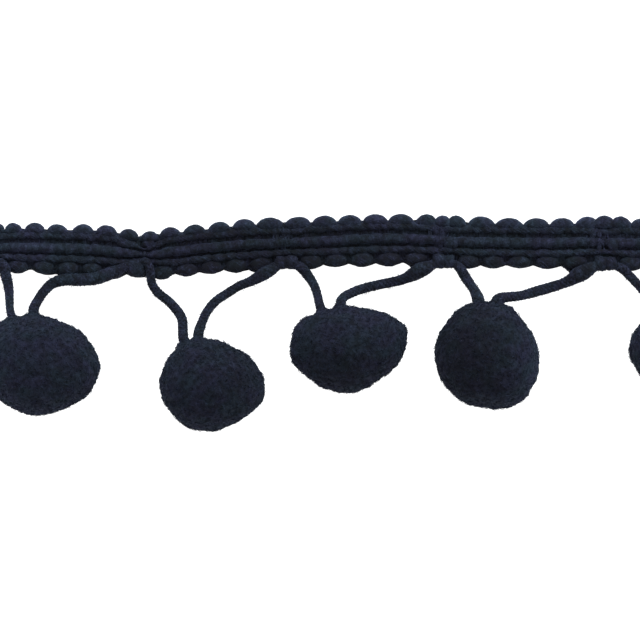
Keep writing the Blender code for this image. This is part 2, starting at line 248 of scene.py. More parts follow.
# The cord: from one ball over the heading's knot to the next ball
CORD_ROUTES = (
    # name, then the route as along, across, up, thickness
    ("cord_1", (
        (-76.3, -3.9, 2.1, 1.8), (-75.3, -4.0, 2.3, 2.0), (-74.45, -4.9, 2.3, 2.2),
        (-74.25, -6.2, 2.1, 2.2), (-73.85, -7.7, 1.6, 2.1), (-73.5, -9.6, 2.4, 1.9),
        (-73.3, -12.0, 4.6, 1.7), (-72.9, -14.3, 6.6, 1.7),
    )),
    ("cord_2", (
        (-68.4, -13.4, 7.0, 2.1), (-67.8, -11.8, 5.2, 2.0), (-66.55, -9.75, 3.0, 2.0),
        (-64.9, -8.1, 1.6, 2.15), (-62.6, -7.35, 1.4, 2.45), (-59.2, -7.32, 1.6, 2.5),
        (-56.2, -7.08, 1.9, 2.55), (-54.2, -6.4, 2.2, 2.6), (-52.4, -5.75, 2.3, 2.4),
        (-50.9, -5.1, 2.3, 1.9), (-49.7, -4.6, 2.1, 1.8), (-48.4, -4.2, 1.6, 1.7),
        (-47.0, -3.8, 1.7, 1.7), (-46.1, -3.7, 2.3, 1.7), (-45.5, -4.6, 2.5, 1.7),
        (-45.2, -5.8, 2.2, 1.8), (-45.1, -7.0, 1.8, 1.8), (-44.9, -8.1, 1.6, 1.8),
        (-43.9, -9.7, 1.5, 1.9), (-41.7, -11.5, 2.2, 1.9), (-40.0, -13.3, 3.4, 2.0),
        (-38.8, -15.2, 4.8, 2.0), (-38.6, -17.2, 6.2, 2.0), (-38.4, -19.3, 7.4, 2.1),
    )),
    ("cord_3", (
        (-35.5, -18.4, 7.3, 2.1), (-35.0, -16.5, 5.8, 1.95), (-34.0, -14.05, 3.8, 1.85),
        (-32.4, -11.9, 2.2, 1.85), (-29.7, -9.98, 1.3, 1.85), (-27.45, -8.6, 1.3, 1.85),
        (-25.0, -7.6, 1.8, 2.05), (-23.6, -6.85, 2.2, 2.35), (-22.2, -6.0, 2.4, 2.6),
        (-20.9, -5.3, 2.5, 2.3), (-19.7, -4.5, 1.9, 1.9), (-18.0, -4.1, 1.3, 1.5),
        (-16.2, -4.3, 1.5, 1.8), (-14.9, -5.0, 2.1, 2.1), (-13.6, -6.5, 1.7, 2.0),
        (-12.2, -8.8, 2.6, 1.8), (-11.5, -11.3, 4.6, 1.8), (-11.0, -13.2, 6.4, 1.9),
    )),
    ("cord_4", (
        (-7.0, -11.7, 6.6, 2.0), (-6.5, -10.9, 5.4, 1.9), (-5.0, -10.05, 3.8, 1.95),
        (-2.6, -9.1, 2.2, 2.0), (0.1, -8.42, 1.4, 2.0), (2.9, -7.88, 1.3, 2.0), (4.6, -7.5, 1.5, 2.05),
        (6.0, -7.0, 1.8, 2.2), (7.2, -6.4, 2.1, 2.6), (8.8, -5.5, 2.4, 3.0), (10.2, -4.9, 2.5, 2.6),
        (11.6, -4.2, 1.9, 1.9), (13.4, -4.1, 1.3, 1.5), (15.8, -4.2, 1.5, 1.6), (16.8, -5.0, 2.1, 2.0),
        (18.0, -6.9, 1.8, 2.05), (19.4, -9.0, 3.2, 2.0), (20.45, -11.4, 6.1, 2.4),
    )),
    ("cord_5", (
        (24.3, -11.3, 6.6, 2.2), (25.9, -10.9, 5.4, 2.1), (29.3, -10.45, 3.4, 1.95),
        (32.4, -9.6, 1.8, 2.15), (35.4, -8.75, 1.3, 2.15), (38.0, -7.85, 1.6, 2.15),
        (39.2, -7.25, 2.0, 2.5), (40.4, -6.45, 2.2, 3.0), (41.6, -5.9, 2.4, 3.0),
        (42.8, -5.2, 2.5, 2.6), (44.2, -4.5, 1.9, 1.9), (45.6, -4.4, 1.3, 1.5), (47.6, -4.5, 1.5, 1.6),
        (49.3, -5.1, 2.2, 1.9), (50.8, -6.5, 1.8, 1.9), (52.5, -8.3, 2.4, 1.8), (54.2, -10.5, 4.2, 1.8),
        (55.8, -12.5, 6.6, 1.9),
    )),
    ("cord_6", (
        (59.4, -11.3, 6.4, 1.9), (60.4, -10.2, 5.0, 1.9), (62.6, -8.9, 2.8, 1.9),
        (65.4, -7.9, 1.5, 1.9), (68.4, -6.9, 1.7, 1.9), (71.4, -5.7, 2.4, 1.9), (74.0, -4.6, 1.9, 1.8),
        (76.2, -4.1, 1.7, 1.6),
    )),
)
PLIES = 5  # plies that wind each way round the cord, of two strands each
PLY = 0.35  # how thick a ply's strands are
PLY_TURN = 4.3  # the length of one turn
PLY_WEAVE = 0.07  # how far a ply rises and dips where it crosses another
PLY_PAIR = 0.17  # half the angle between the two strands of a ply
CORE_INSET = 0.4  # by how much less than the cord's its core is thick, where the cord is tight
CORD_STRAYS = 5.0  # loose fibres to a millimetre
CORD_STEP = 0.28
CORD_INTO_BALL = 1.4

# Yarn balls
BALLS = ("pompom_1", "pompom_2", "pompom_3", "pompom_4", "pompom_5")
PILE_INSET = 0.18  # from the ball's outside in to the ground of its pile
PILE_SPACING = 0.352
PILE_DENSITY = 16.0  # more fibres to a square millimetre than the spacing leaves room for
LEAST_HEIGHT = 0.03  # of the pile over the surface
FIBRE_LENGTH = 0.95
FIBRE_THICKNESS = 0.2
NECK_HEIGHT = 1.6  # how far the cord draws the pile out along itself
NECK_REACH = 1.3
# Places where the pile also stands up beside the cord
SHOULDERS = (
    # ball, along, across, up
    ("pompom_4", 24.4, -12.6, 7.2),
    ("pompom_3", -7.4, -12.6, 6.6),
)

# Where a ball bulges, or is flatter than an even ball
UNEVEN = {
    # ball: along, across, how far out, reach
    "pompom_1": (
        (-75.0, -15.4, 0.4, 1.5), (-58.2, -18.8, 0.35, 2.5), (-55.5, -24.2, 0.35, 2.5),
        (-57.2, -30.2, 0.2, 2.0), (-64.0, -15.2, -0.2, 2.0), (-66.5, -34.0, 0.1, 3.0),
    ),
    "pompom_2": (
        (-23.2, -25.8, 0.3, 2.5), (-22.6, -30.8, 0.5, 1.8), (-24.8, -33.6, -0.25, 2.0),
        (-41.0, -34.0, 0.1, 2.5), (-43.2, -27.8, 0.3, 1.5), (-39.6, -20.0, 0.5, 1.2),
        (-37.5, -36.8, 0.3, 3.0),
    ),
    "pompom_3": (
        (-13.0, -14.6, -0.4, 1.2), (-16.4, -17.2, 0.35, 1.8), (-16.4, -24.0, 0.4, 1.8),
        (-13.2, -27.2, -0.3, 2.0), (-9.6, -29.4, -0.3, 2.0), (-4.2, -30.0, 0.3, 2.5),
        (4.4, -22.4, -0.4, 2.5), (0.8, -26.8, -0.25, 2.5), (6.0, -16.8, 0.7, 1.6),
        (3.0, -14.6, -0.4, 1.5), (-4.2, -12.6, -0.25, 1.5),
    ),
    "pompom_4": (
        (18.6, -12.0, 0.4, 1.5), (29.6, -16.0, -0.3, 1.8), (27.0, -13.0, 0.75, 1.4),
        (32.2, -20.4, 0.25, 2.0), (22.0, -33.0, 0.2, 3.0), (12.2, -22.0, 0.2, 5.0),
        (33.4, -24.6, -0.2, 3.0), (26.3, -32.5, 0.25, 2.5),
    ),
    "pompom_5": (
        (50.6, -21.8, 0.4, 2.0),
    ),
}

# Where the yarn is paler or deeper: dye on the heading, then the cords, then painted light and shade on the
# balls
DYE_AND_LIGHT_PATCHES = (
    # along, across, half_length, half_width, how much paler
    (-72.0, -2.5, 14.0, 8.0, 0.14),
    (-49.5, 0.8, 4.0, 3.0, -0.12),
    (-24.0, 0.0, 20.0, 6.5, -0.15),
    (8.0, -6.0, 5.0, 2.5, -0.20),
    (42.0, -6.0, 5.0, 2.5, -0.17),
    (-67.0, -10.5, 3.0, 3.5, -0.22),
    # the last five are painted light and painted shade on the balls' sides
    (-76.0, -26.0, 9.0, 12.0, 0.18),
    (-26.0, -25.0, 5.0, 7.0, -0.15),
    (-5.5, -26.0, 6.0, 4.5, -0.19),
    (17.5, -21.5, 8.0, 10.0, -0.27),
    (33.0, -28.0, 4.5, 7.0, 0.26),
)

# Linear colours of the dyed yarn
NAVY = (0.0178, 0.0222, 0.0360)
NAVY_DEEP = (0.0075, 0.0082, 0.0110)
NAVY_PALE = (0.0390, 0.0480, 0.0800)
SHEEN = (0.42, 0.56, 1.0)
COLDER = (0.84, 1.0, 0.9)
WARMER = (1.0, 0.86, 1.02)
DYE = ((0.0, NAVY_DEEP), (0.5, NAVY), (1.0, NAVY_PALE))
TINTS = ((0.35, COLDER), (0.65, WARMER))

# Finishes of the yarns: copies of one navy yarn, the darker ones painted shade
YARNS = {
    # what the fibre follows, how much the strands differ, how pale they are (0.5 is the middle of the dye's
    # range), how fine the fibre is, its relief, its sheen
    "bead_yarn": ("thread", 0.2, 0.44, 5000.0, 0.9, 0.12),
    "row_yarn": ("thread", 0.3, 0.41, 9000.0, 0.6, 0.05),
    # the next three are darker copies, painted shade: on the chains, knot lumps and weft, on the lower beads,
    # and on the tape
    "shaded_yarn": ("thread", 0.2, 0.24, 5000.0, 0.9, 0.04),
    "shaded_low_yarn": ("thread", 0.2, 0.1, 5000.0, 0.9, 0.03),
    "shaded_ground_yarn": ("object", 0.4, 0.3, 3000.0, 0.8, 0.0),
    "cord_yarn": ("thread", 0.4, 0.3, 9000.0, 0.6, 0.06),
}
FELT_PALE = 0.345
# The fibre pattern of a strand: how far it winds round in a millimetre (in radians), its stretch lengthwise
YARN_WIND = 0.7
YARN_STRETCH = 0.22

# Sides of a thick body of yarn, of a cord's core and of a fine strand
BODY_SIDES = 16
CORE_SIDES = 12
STRAND_SIDES = 4


def curve_through(knots, values, at):
    """Smooth values at the given places, through rows of values at rising knots (Catmull-Rom tangents)."""
    knots = np.asarray(knots, float)
    values = np.asarray(values, float).reshape(len(knots), -1)
    slopes = np.gradient(values, knots, axis=0)
    at = np.clip(np.atleast_1d(at), knots[0], knots[-1])
    left = np.clip(np.searchsorted(knots, at, side="right") - 1, 0, len(knots) - 2)
    span = (knots[left + 1] - knots[left])[:, None]
    t = (at - knots[left])[:, None] / span
    return (
        values[left] * (2 * t**3 - 3 * t**2 + 1)
        + slopes[left] * span * (t**3 - 2 * t**2 + t)
        + values[left + 1] * (3 * t**2 - 2 * t**3)
        + slopes[left + 1] * span * (t**3 - t**2)
    )


def middle_at(x):
    """Where the heading's middle line is, across, at places along it."""
    return curve_through(*zip(*MIDDLE_LINE), x)[:, 0]


def rows_in(x):
    """The share by which the knots draw the rows together at places along the heading."""
    return sum(share * np.exp(-(((x - along) / KNOT_REACH) ** 2)) for along, share, _, _ in KNOTS)


def row_top_at(across):
    """The height of the braid's yarn at places across it."""
    return np.interp(across, *zip(*ROW_TOPS))


def bead_tips(side):
    """Where the beads of one edge have their tips."""
    edge = EDGES[side]
    tips = []
    for (start, beads, lean), (end, _, _) in zip(edge, edge[1:]):
        for i in range(beads + 1):
            share = i / (beads + 1)
            tips.append(start + (end - start) * (share + lean * sin(pi * share)))
    return tips


def beads_of(side):
    """The beads of one edge that the cut length holds, as where each starts, has its tip and ends."""
    tips = bead_tips(side)
    between = [(a + b) / 2 for a, b in zip(tips, tips[1:])]
    limit = CUT_LENGTH / 2 - EDGE_MARGIN
    return [row for row in zip(between, tips[1:], between[1:]) if -limit < row[1] < limit]


def pushed_out(x):
    """How much further out the knots push the upper edge, at places along it."""
    return sum(further * np.exp(-(((x - place) / half) ** 4)) for place, half, further in DRAWN_TOGETHER)


def sway_at(side, x):
    """How much further out than even an edge of the heading lies, at places along it."""
    return np.interp(x, *zip(*EDGE_SWAY[side]))


def tape_edge_at(side, x):
    """Where the tape's own edge is, across from the middle line: it reaches further out under each bead."""
    out = np.zeros(len(x))
    for start, tip, end in beads_of(side):
        half = np.where(x < tip, tip - start, end - tip)
        out = np.maximum(out, 1 - ((x - tip) / half) ** 2)
    out = TAPE_SCALLOPS[side] * out + sway_at(side, x)
    if side == "upper":
        return TAPE_EDGES[side] + out + pushed_out(x)
    for place, half, further in TAPE_BY_CORD:
        out = out + further * np.exp(-(((x - place) / half) ** 4))
    return TAPE_EDGES[side] - out


class Value:
    """A shader or geometry socket. Used in an expression, it adds the Math nodes for it."""

    def __init__(self, tree, socket):
        self.tree = tree
        self.socket = socket

    def math(self, operation, *others):
        return add(self.tree, "ShaderNodeMath", {"operation": operation}, dict(enumerate((self, *others))))

    def output(self, name):
        """Another output of the same node."""
        return Value(self.tree, self.socket.node.outputs[name])

    def into(self, socket):
        self.tree.links.new(self.socket, socket)

    def __add__(self, other):
        return self.math("ADD", other)

    def __sub__(self, other):
        return self.math("SUBTRACT", other)

    def __rsub__(self, other):
        return add(self.tree, "ShaderNodeMath", {"operation": "SUBTRACT"}, {0: other, 1: self})

    def __mul__(self, other):
        return self.math("MULTIPLY", other)

    __radd__ = __add__
    __rmul__ = __mul__


def add(tree, kind, settings=None, inputs=None, output=0):
    """Adds a node with its settings, then the values or links of its sockets. It gives one of its outputs."""
    node = tree.nodes.new(kind)
    for name, value in (settings or {}).items():
        if name == "stops":
            set_stops(node.color_ramp.elements, value)
        else:
            setattr(node, name, value)
    for name, value in (inputs or {}).items():
        if isinstance(value, Value):
            value.into(node.inputs[name])
        else:
            node.inputs[name].default_value = value
    return Value(tree, node.outputs[output])


def set_stops(elements, stops):
    while len(elements) < len(stops):
        elements.new(1.0)
    for element, (place, rgb) in zip(elements, stops):
        element.position = place
        element.color = colour(rgb)


def colour(rgb):
    return (*rgb, 1.0)


def grain(tree, place, scale, detail):
    return add(tree, "ShaderNodeTexNoise", {}, {"Vector": place, "Scale": scale, "Detail": detail})


def marked(tree, name, output="Fac"):
    return add(tree, "ShaderNodeAttribute", {"attribute_name": name}, output=output)


def new_material(name):
    material = bpy.data.materials.new(name)
    material.use_nodes = True
    return material, material.node_tree.nodes["Principled BSDF"]


def set_inputs(shader, values):
    for name, value in values.items():
        shader.inputs[name].default_value = value


def dye(shader, depth, place):
    """Dyes a yarn by its depth of colour, a little warmer in some patches and colder in others."""
    tree = depth.tree
    dyed = add(tree, "ShaderNodeValToRGB", {"stops": DYE}, {"Fac": depth}, "Color")
    patches = grain(tree, place, 260.0, 1.0)
    tint = add(tree, "ShaderNodeValToRGB", {"stops": TINTS}, {"Fac": patches}, "Color")
    settings = {"data_type": "RGBA", "blend_type": "MULTIPLY"}
    mixed = add(tree, "ShaderNodeMix", settings, {"Factor": 1.0, "A": dyed, "B": tint}, "Result")
    mixed.into(shader.inputs["Base Color"])


def raise_fibre(shader, height, strength, distance):
    relief = {"Height": height, "Strength": strength, "Distance": distance * MM}
    add(height.tree, "ShaderNodeBump", {}, relief, "Normal").into(shader.inputs["Normal"])


def dull(shader, roughness, gloss, sheen, sheen_roughness):
    set_inputs(shader, {
        "Roughness": roughness,
        "Specular IOR Level": gloss,
        "Sheen Weight": sheen,
        "Sheen Roughness": sheen_roughness,
        "Sheen Tint": colour(SHEEN),
    })


def dyed_yarn(name):
    """Dyed yarn: fine fibre that follows an attribute or the object's place, and strands that differ a little
    in depth of colour."""
    pattern, shade_share, pale, fibre_scale, relief, sheen = YARNS[name]
    material, shader = new_material(name)
    tree = material.node_tree
    place = add(tree, "ShaderNodeTexCoord", output="Object")
    along = place if pattern == "object" else marked(tree, pattern, "Vector")
    shade = marked(tree, "shade")
    fibre = grain(tree, along, fibre_scale, 3.0)
    speck = grain(tree, place, 3200.0, 2.0)
    patch = grain(tree, place, 900.0, 2.0)
    depth = (shade - 0.5) * shade_share + (fibre - 0.5) * 0.8 + (speck - 0.5) * 1.3 + (patch - 0.5) * 1.5
    dye(shader, depth + marked(tree, "paler") + pale, place)
    raise_fibre(shader, fibre, relief, 0.2)
    dull(shader, 0.9, 0.15, sheen, 0.5)
    return material


def felt(name):
    """Clipped and felted yarn: mottled, with painted shade that darkens its pits and painted light that makes
    the fibres' tips paler.
    """
    material, shader = new_material(name)
    tree = material.node_tree
    place = add(tree, "ShaderNodeTexCoord", output="Object")
    shade = marked(tree, "shade")
    tip = marked(tree, "tip")
    clumps = grain(tree, place, 900.0, 3.0)
    speck = grain(tree, place, 4200.0, 2.0)
    # painted shade: the pile's ground has no shade mark and takes the deepest; painted light: tip makes the
    # fibres' tips paler
    depth = (shade - 0.5) * 0.3 + (clumps - 0.5) * 1.2 + (speck - 0.5) * 0.5 + tip * 0.2
    # paler holds the painted light and painted shade of the balls' patches
    dye(shader, depth + marked(tree, "paler") + FELT_PALE, place)
    raise_fibre(shader, speck, 0.8, 0.1)
    dull(shader, 0.95, 0.1, 0.05, 0.6)
    return material


def linked(name, data):
    made = bpy.data.objects.new(name, data)
    bpy.context.scene.collection.objects.link(made)
    return made


def mesh_of(shown):
    """The mesh that an object's modifiers or curve settings give. The object itself is removed."""
    bpy.context.view_layer.update()
    evaluated = shown.evaluated_get(bpy.context.evaluated_depsgraph_get())
    mesh = bpy.data.meshes.new_from_object(evaluated)
    bpy.data.objects.remove(shown)
    return mesh


def strands_mesh(lines, sides, rng):
    """Strands along lines of (x, y, z, thickness) in millimetres, and how flat they are where a fifth value
    says so. Each has a shade of its own, and a pattern space that runs along it: stretched along its length
    and wound round it as its fibres are."""
    curve = bpy.data.curves.new("strands", "CURVE")
    curve.dimensions = "3D"
    curve.bevel_depth = MM / 2
    curve.bevel_resolution = sides // 2 - 2
    for line in lines:
        spline = curve.splines.new("POLY")
        spline.points.add(len(line) - 1)
        spline.points.foreach_set("co", np.column_stack((line[:, :3] * MM, np.ones(len(line)))).ravel())
        spline.points.foreach_set("radius", line[:, 3].copy())
    mesh = mesh_of(linked("strands", curve))
    if lines[0].shape[1] > 4:
        flatten(mesh, lines, sides)
    close_ends(mesh, sides)
    shades = rng.random(len(lines))
    counts = [len(line) * sides for line in lines]
    pattern = np.concatenate([thread_space(line, sides, rng) for line in lines])
    mark(mesh, "shade", np.repeat(shades, counts))
    mesh.attributes.new("thread", "FLOAT_VECTOR", "POINT").data.foreach_set("vector", pattern.ravel())
    mesh.shade_smooth()
    return mesh


def mark(mesh, name, values):
    mesh.attributes.new(name, "FLOAT", "POINT").data.foreach_set("value", values)


def flatten(mesh, lines, sides):
    """Presses the strands flat, or lets them stand up, by the fifth value of their lines."""
    places = np.array([vertex.co for vertex in mesh.vertices])
    level = np.repeat(np.concatenate([line[:, 2] for line in lines]) * MM, sides)
    share = np.repeat(np.concatenate([line[:, 4] for line in lines]), sides)
    places[:, 2] = level + (places[:, 2] - level) * share
    mesh.vertices.foreach_set("co", places.ravel())


def close_ends(mesh, sides):
    """Closes the open ends of the mesh's strands."""
    bm = bmesh.new()
    bm.from_mesh(mesh)
    bmesh.ops.holes_fill(bm, edges=[edge for edge in bm.edges if edge.is_boundary], sides=sides)
    bm.to_mesh(mesh)
    bm.free()


def travelled_along(points):
    """How far along a line each of its points is."""
    return np.concatenate([[0.0], np.cumsum(np.linalg.norm(np.diff(points, axis=0), axis=1))])


def thread_space(line, sides, rng):
    """The pattern space of one strand, for each point of its surface, in metres."""
    along = travelled_along(line[:, :3])
    around = 2 * pi * np.arange(sides) / sides
    angle = around[None, :] + YARN_WIND * along[:, None]
    radius = line[:, 3:4] / 2
    lengthwise = np.broadcast_to(YARN_STRETCH * along[:, None], angle.shape)
    space = np.stack([lengthwise, radius * np.cos(angle), radius * np.sin(angle)], axis=-1)
    return (space.reshape(-1, 3) + rng.random(3) * 50) * MM


def mark_dye_and_light(mesh):
    """Marks each point of a mesh by how much paler its yarn is than even: dye patches, and on the balls
    painted light and painted shade.
    """
    places = np.empty(3 * len(mesh.vertices), np.float32)
    mesh.vertices.foreach_get("co", places)
    x, y, _ = places.reshape(-1, 3).T / MM
    paler = np.zeros(len(x))
    for along, across, half_length, half_width, share in DYE_AND_LIGHT_PATCHES:
        paler += share * np.exp(-(((x - along) / half_length) ** 2) - ((y - across) / half_width) ** 2)
    mark(mesh, "paler", paler)


def finished(name, mesh, material, stands_for):
    """Puts a finished piece in the scene, on the frame's one body."""
    mesh.name = name
    mark_dye_and_light(mesh)
    mesh.materials.clear()
    mesh.materials.append(material)
    piece = linked(name, mesh)
    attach(piece, "root")
    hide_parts(stands_for)
    return piece


def bundle(spine, half_width, half_height, count, thickness, turns, rng):
    """Strands that lie side by side round a spine, as the fibres of a soft thick yarn do.

    half_width lies level and half_height stands up."""
    tangents = np.gradient(spine, axis=0)
    tangents /= np.linalg.norm(tangents, axis=1)[:, None]
    sideways = np.column_stack([-tangents[:, 1], tangents[:, 0], np.zeros(len(spine))])
    sideways /= np.linalg.norm(sideways, axis=1)[:, None]
    upwards = np.cross(tangents, sideways)
    share = np.linspace(-0.5, 0.5, len(spine))
    lines = []
    phase = rng.random() * 2 * pi
    for number in range(count):
        angle = phase + 2 * pi * (number + 0.3 * (rng.random() - 0.5)) / count + 2 * pi * turns * share
        out = 1 - 0.04 * rng.random() + 0.02 * np.sin(share * 9 + rng.random() * 6)
        place = (
            spine
            + sideways * (half_width * out * np.cos(angle))[:, None]
            + upwards * (half_height * out * np.sin(angle))[:, None]
            + rng.normal(0, 0.015, spine.shape)
        )
        thick = thickness * (0.8 + 0.4 * rng.random()) * (1 - 0.35 * (2 * np.abs(share)) ** 3)
        lines.append(np.column_stack([place, thick]))
    return lines


def bead_line(side, start, tip, end, rng):
    """One bead: a loop of soft thick yarn that comes out of the braid, round its edge and in again."""
    row = BEAD_ROWS[side]
    share = np.linspace(-1, 1, BEAD_STEPS)
    left = min(tip - start, LOPSIDED * (end - tip))
    right = min(end - tip, LOPSIDED * (tip - start))
    x = tip + np.where(share < 0, left, right) * share
    fill = np.interp(tip, FILL_ENDS, row["fill"]) + 0.06 * (rng.random() - 0.5)
    round_out = np.clip(1 - (share / fill) ** 2, 0, 1)
    bulge = round_out ** row["round"]
    size = 1 + 0.07 * (rng.random() - 0.5)
    draw = 1 - row["drawn"] * rows_in(x)
    near, far = (row[name][1] + (row[name][0] - row[name][1]) * bulge for name in ("near", "far"))
    if side == "upper":
        far = far + sway_at(side, tip) + 0.5 * pushed_out(x)
    else:
        far = far - sway_at(side, tip)
    half_width = np.maximum(np.abs(far - near) / 2, 0.3) + 0.06 * (rng.random(BEAD_STEPS) - 0.5)
    half_height = row["tall"] * size * (0.4 + 0.6 * round_out**0.5)
    across = (near + far) / 2 * draw + 0.06 * (rng.random(BEAD_STEPS) - 0.5)
    up = half_height + 0.08 + 0.25 * (1 - round_out)
    return np.column_stack([x, middle_at(x) + across, up, 2 * half_width, half_height / half_width])


def skin(body, count, reach, turn, thickness, rng):
    """Single fibres that lie on the upper side of a body of yarn. Each goes on for reach millimetres along
    it, and for turn half turns round it."""
    places = (body[:, 0] - body[0, 0]) / (body[-1, 0] - body[0, 0])
    length = body[-1, 0] - body[0, 0]
    t = np.linspace(-1, 1, 4)
    lines = []
    for _ in range(count):
        half = reach * (0.35 + 0.3 * rng.random()) / length
        share = half + (1 - 2 * half) * rng.random() + half * t
        room = max(0.9 - abs(turn), 0.2)
        angle = pi * (0.5 + room * (rng.random() - 0.5) + turn * (0.8 + 0.4 * rng.random()) * t / 2)
        x, y, z, width, flat = (np.interp(share, places, column) for column in body.T)
        out = width / 2 * (0.985 + 0.03 * rng.random())
        thick = thickness * (0.7 + 0.6 * rng.random()) * (1 - 0.6 * t**2)
        lines.append(np.column_stack([x, y + out * np.cos(angle), z + out * flat * np.sin(angle), thick]))
    return lines


def bead_bodies(side):
    """The beads of one edge as bodies of yarn. The cord's knots take the place of some at the lower edge."""
    rng = np.random.default_rng(BEAD_ROWS[side]["seed"])
    lines = []
    for start, tip, end in beads_of(side):
        if side == "lower" and any(abs(tip - over_cord) < 1.0 for *_, over_cord in KNOTS):
            continue
        lines.append(bead_line(side, start, tip, end, rng))
    return lines


def beads(side):
    return strands_mesh(bead_bodies(side), BODY_SIDES, np.random.default_rng(14))


def lump_bodies():
    """The thick lumps of yarn at the knots."""
    rng = np.random.default_rng(13)
    share = np.linspace(-1, 1, 13)
    fat = (1 - share**4) ** 0.5
    lines = []
    for along, across, up, half_length, half_width, half_height in LUMPS:
        x = along + half_length * share
        size = 1 + 0.12 * (rng.random() - 0.5)
        half_width = half_width * size * (0.5 + 0.5 * fat) + 0.2 * (rng.random(13) - 0.5)
        half_height = half_height * size * (0.5 + 0.5 * fat) + 0.15 * (rng.random(13) - 0.5)
        y = middle_at(x) + across + 0.2 * (rng.random() - 0.5) * share + 0.16 * (rng.random(13) - 0.5)
        lines.append(np.column_stack([x, y, up + 0 * x, 2 * half_width, half_height / half_width]))
    return lines


def knot_lumps():
    return strands_mesh(lump_bodies(), BODY_SIDES, np.random.default_rng(15))


def row_body(name):
    """One row of the braid as a single body of yarn, which its stitches draw in between soft lumps."""
    row = LUMPY_ROWS[name]
    rng = np.random.default_rng(row["seed"])
    waists = [-CUT_LENGTH / 2 - row["lump"]]
    while waists[-1] < CUT_LENGTH / 2 + row["lump"]:
        waists.append(waists[-1] + row["lump"] * (0.7 + 0.6 * rng.random()))
    waists = np.array(waists)
    x = np.arange(-CUT_LENGTH / 2 + END_INSET, CUT_LENGTH / 2 - END_INSET, ROW_STEP)
    lump = np.searchsorted(waists, x) - 1
    share = 2 * (x - waists[lump]) / (waists[lump + 1] - waists[lump]) - 1
    fat = (1 - share**2) ** 0.6
    rise, width, lean, aside = rng.random((4, len(waists)))[:, lump]
    slow = np.array([noise.noise(Vector((place * 0.5, row["at"], 3.0))) for place in x])
    draw = 1 - rows_in(x)
    pinch = 1 - sum(1.2 * share * np.exp(-(((x - along) / 1.1) ** 2)) for along, share, _, _ in KNOTS)
    full = 1 - row["drawn"] * (1 - fat)
    half_width = row["half"] * (0.94 * full + 0.1 * width * fat) * (0.25 + 0.75 * draw) * pinch
    half_height = row["tall"] * (0.88 * full + 0.2 * rise * fat)
    across = row["at"] * draw + 0.12 * slow + 0.2 * (lean - 0.5) * share * fat + 0.16 * (aside - 0.5) * fat
    up = row["up"] - 0.5 * (1 - draw)
    return np.column_stack([x, middle_at(x) + across, up + 0 * x, 2 * half_width, half_height / half_width])


def braid_row(name):
    return strands_mesh([row_body(name)], BODY_SIDES, np.random.default_rng(24))


def weft():
    """The strands that cross the braid under its rows, and show in the grooves and between the beads."""
    rng = np.random.default_rng(35)
    lines = []
    x = -CUT_LENGTH / 2 + END_INSET
    while x < CUT_LENGTH / 2 - END_INSET:
        here = np.array([x])
        lower = float(tape_edge_at("lower", here)[0])
        upper = float(tape_edge_at("upper", here)[0])
        across = np.array([lower + 0.25, lower + 0.6, -2.4, -0.7, 1.6, upper - 0.6, upper - 0.25])
        xs = x + 0.5 * (rng.random() - 0.5) * np.linspace(-1, 1, 7) + 0.06 * (rng.random(7) - 0.5)
        ys = middle_at(xs) + across * (1 - TAPE_DRAWN * rows_in(xs))
        zs = np.array([0.4, 0.9, 1.0, 1.05, 1.05, 0.95, 0.4]) + 0.16 * (rng.random(7) - 0.5)
        lines.append(np.column_stack([xs, ys, zs, np.full(7, 0.5 + 0.1 * rng.random())]))
        x += WEFT_STEP * (0.7 + 0.6 * rng.random())
    return strands_mesh(lines, STRAND_SIDES, rng)


def stitches():
    """The stitching of the knots: short strands laid across the rows, over them and down into the grooves
    between them, and the small tufts that they pull up."""
    rng = np.random.default_rng(41)
    lines = []
    for _, tight, along, _ in KNOTS:
        for _ in range(30 + round(40 * tight)):  # a tighter knot has more stitches
            start = -1.8 + 3.6 * rng.random()
            length = 1.2 + 1.8 * rng.random()
            across = np.linspace(start, min(start + length, 3.6), 10)
            xs = along + rng.normal(0, 1.1) + rng.normal(0, 0.4) * (across - start) / length
            xs = xs + 0.05 * (rng.random(10) - 0.5)
            draw = 1 - rows_in(xs)
            zs = np.maximum(row_top_at(across), 1.6) - 0.9 * (1 - draw) + 0.1 * rng.random()
            zs[[0, -1]] -= 0.4
            thick = np.full(10, 0.18 + 0.1 * rng.random())
            lines.append(np.column_stack([xs, middle_at(xs) + across * draw, zs, thick]))
    for along, across, half_length, half_width, turn in TUFTS:
        share = np.linspace(-1, 1, 6)
        xs = along + half_length * share * cos(turn)
        ys = middle_at(np.array([along])) + across + half_length * share * sin(turn)
        fat = np.sqrt(1 - (share / 1.1) ** 2)
        zs = max(row_top_at(across), 1.75) - 0.25 + 0.2 * fat
        spine = np.column_stack([xs, ys, zs])
        lines += bundle(spine, half_width * fat, 0.35 * fat, 12, 0.2, 0.3, rng)
        lines.append(np.column_stack([spine, 1.4 * half_width * fat]))
    return strands_mesh(lines, STRAND_SIDES, rng)


def heading_fuzz():
    """Loose fibres all over the braid, which lie on its yarn, stand up from it and cross its grooves."""
    rng = np.random.default_rng(45)
    bodies = {
        "upper_beads": bead_bodies("upper"),
        "lower_beads": bead_bodies("lower"),
        "knot_lumps": lump_bodies(),
        "chains": [row_body("upper"), row_body("lower")],
        "ridge": [row_body("ridge")],
    }
    lying = []
    for name, fibres in LYING_FIBRES.items():
        for body in bodies[name]:
            lying += skin(body, *fibres, rng)
    count = 900
    x = (rng.random(count) - 0.5) * (CUT_LENGTH - 3.0)
    across = -4.2 + 8.0 * rng.random(count)
    anchors = np.column_stack([x, middle_at(x) + across, row_top_at(across) - 0.1])
    outwards = np.column_stack([rng.normal(0, 1.0, count), rng.normal(0, 0.4, count), np.full(count, 0.3)])
    standing = stray_fibres(anchors, outwards, count=600, seed=46, reach=1.0, thickness=0.09)
    return strands_mesh([*lying, *standing], STRAND_SIDES, rng)


